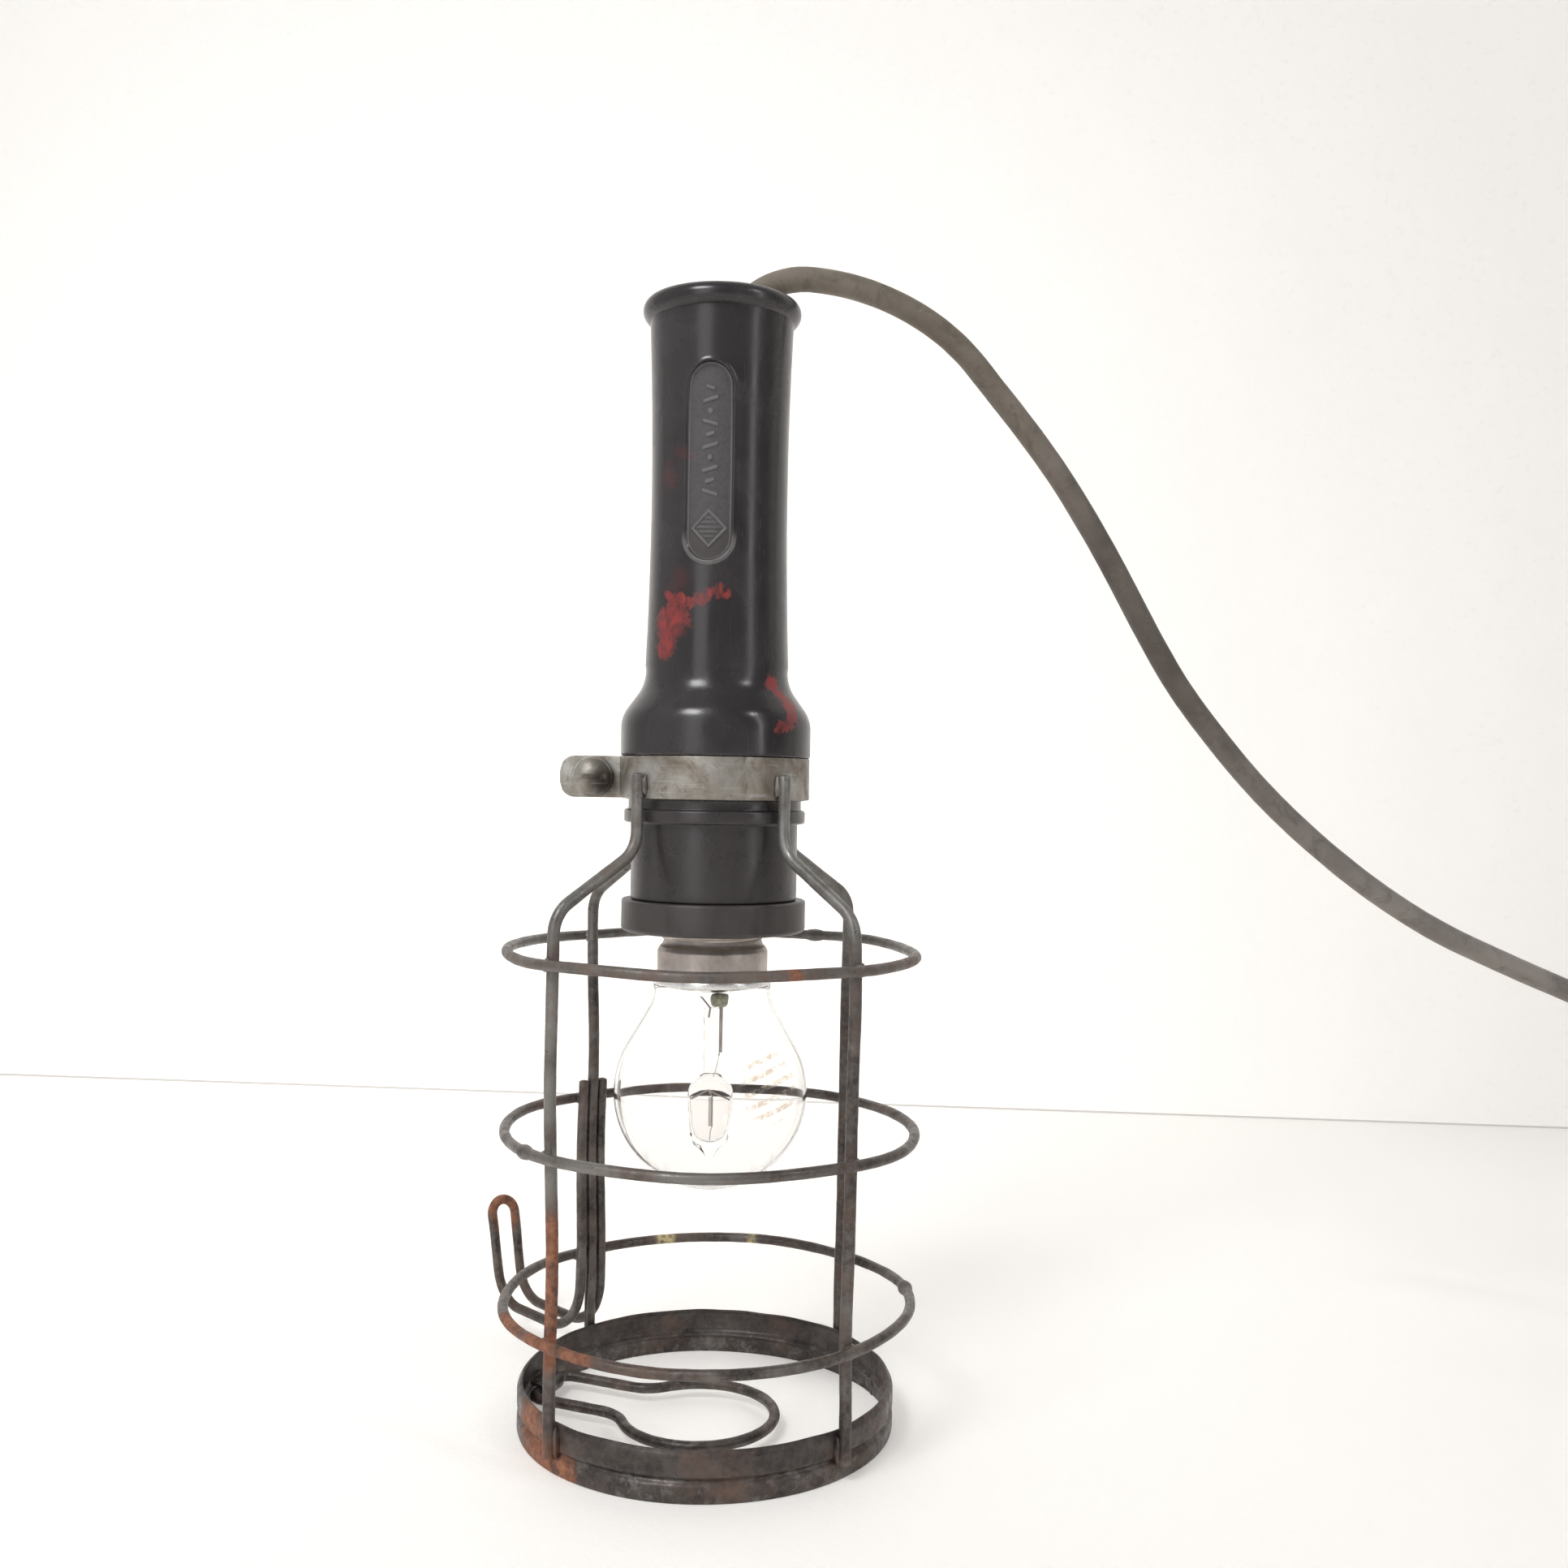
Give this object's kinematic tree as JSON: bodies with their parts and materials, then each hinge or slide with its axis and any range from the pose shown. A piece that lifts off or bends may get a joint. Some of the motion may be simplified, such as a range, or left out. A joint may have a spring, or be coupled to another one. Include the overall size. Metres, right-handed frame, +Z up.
{
  "type": "caged hand lamp",
  "caption": "Hand lamp with a moulded handle, a clear bulb inside a welded wire cage, a side hook, a hanging loop and a cable with a plug.",
  "frame": {"origin": "centre of the end ring's foot, on the table, under the axis of the handle", "axes": "+Z up along the handle, -Y towards the marking panel on the grip, +X towards the side the cable leaves by"},
  "size_m": [0.3606, 0.1207, 0.2815],
  "materials": {
    "zinc_plated_steel": "dull mottled zinc",
    "cage_steel": "dull, oxidised, rust in places",
    "black_moulding": "glossy thermoset moulding, scratched",
    "porcelain": "glazed",
    "brass": "dull brass",
    "plated_fasteners": "nickel plated",
    "grip_fibre": "matt pressed fibre",
    "rubber_sheath": "matt grey-olive rubber",
    "core_brown": "matt insulation",
    "core_blue": "matt insulation",
    "clear_glass": "clear",
    "bulb_cap_metal": "rolled, satin",
    "black_glass": "black insulating glass",
    "tungsten": "dark wire"
  },
  "bodies": {
    "cage": {"clamp_band": "zinc_plated_steel", "clamp_nut": "zinc_plated_steel", "cage_rod_front_left": "cage_steel", "cage_rod_front_right": "cage_steel", "cage_rod_rear_left": "cage_steel", "cage_rod_rear_right": "cage_steel", "cage_hoop_upper": "cage_steel", "cage_hoop_middle": "cage_steel", "cage_hoop_lower": "cage_steel", "end_ring": "cage_steel", "side_hook": "cage_steel", "loop_clip": "zinc_plated_steel"},
    "clamp_washer": {"clamp_washer": "zinc_plated_steel"},
    "clamp_screw": {"clamp_screw": "zinc_plated_steel"},
    "hanging_loop": {"hanging_loop": "cage_steel"},
    "handle": {"handle_shell": "black_moulding", "retaining_ring": "black_moulding", "holder_insert": "porcelain", "screw_shell": "brass", "contact_rivet": "brass", "shell_rivet": "brass", "live_terminal": "brass", "neutral_terminal": "brass", "terminal_screws": "plated_fasteners", "cord_grip_front": "grip_fibre", "cord_grip_rear": "grip_fibre", "cord_grip_screws": "plated_fasteners", "cable_bush": "rubber_sheath", "cable_inner": "rubber_sheath", "live_core": "core_brown", "neutral_core": "core_blue"},
    "centre_contact": {"centre_contact": "brass"},
    "bulb": {"bulb_glass": "clear_glass", "bulb_cap": "bulb_cap_metal", "bulb_cap_insulator": "black_glass", "bulb_tip_contact": "bulb_cap_metal", "halogen_capsule": "clear_glass", "filament": "tungsten", "capsule_stem": "clear_glass", "lead_wires": "tungsten"},
    "cable": {"cable_outer": "rubber_sheath", "plug_cover": "black_moulding", "plug_base": "black_moulding", "plug_pins": "plated_fasteners", "plug_pin_screws": "plated_fasteners", "plug_screw": "plated_fasteners"}
  },
  "joints": [
    {"name": "handle_draw_out", "type": "slide", "parent": "cage", "child": "handle", "axis": [0, 0, 1], "range_m": [0, 0.045]},
    {"name": "bulb_out", "type": "slide", "parent": "handle", "child": "bulb", "axis": [0, 0, -1], "range_m": [0, 0.03]},
    {"name": "contact_press", "type": "hinge", "parent": "handle", "child": "centre_contact", "pos_m": [-0.0056, 0, 0.1346], "axis": [0, -1, 0], "range_deg": [0, 10], "stiffness_Nm_per_rad": 0.02},
    {"name": "cable_swing", "type": "hinge", "parent": "handle", "child": "cable", "pos_m": [0, 0, 0.256], "axis": [0, 0, 1], "range_deg": [-90, 90]},
    {"name": "loop_swing", "type": "hinge", "parent": "cage", "child": "hanging_loop", "pos_m": [-0.03984, 0.00906, 0.0036], "axis": [0.3649, 0.9311, 0], "range_deg": [0, 80]},
    {"name": "clamp_washer_slide", "type": "slide", "parent": "cage", "child": "clamp_washer", "axis": [0, -1, 0], "range_m": [0, 0.0024]},
    {"name": "clamp_screw_turn", "type": "hinge", "parent": "clamp_washer", "child": "clamp_screw", "pos_m": [-0.0294, 0, 0.155], "axis": [0, -1, 0], "range_deg": [0, 1080]}
  ],
  "couplings": [
    {"joint": "clamp_screw_turn", "follows": "clamp_washer_slide", "rad_per_m": 7854}
  ]
}
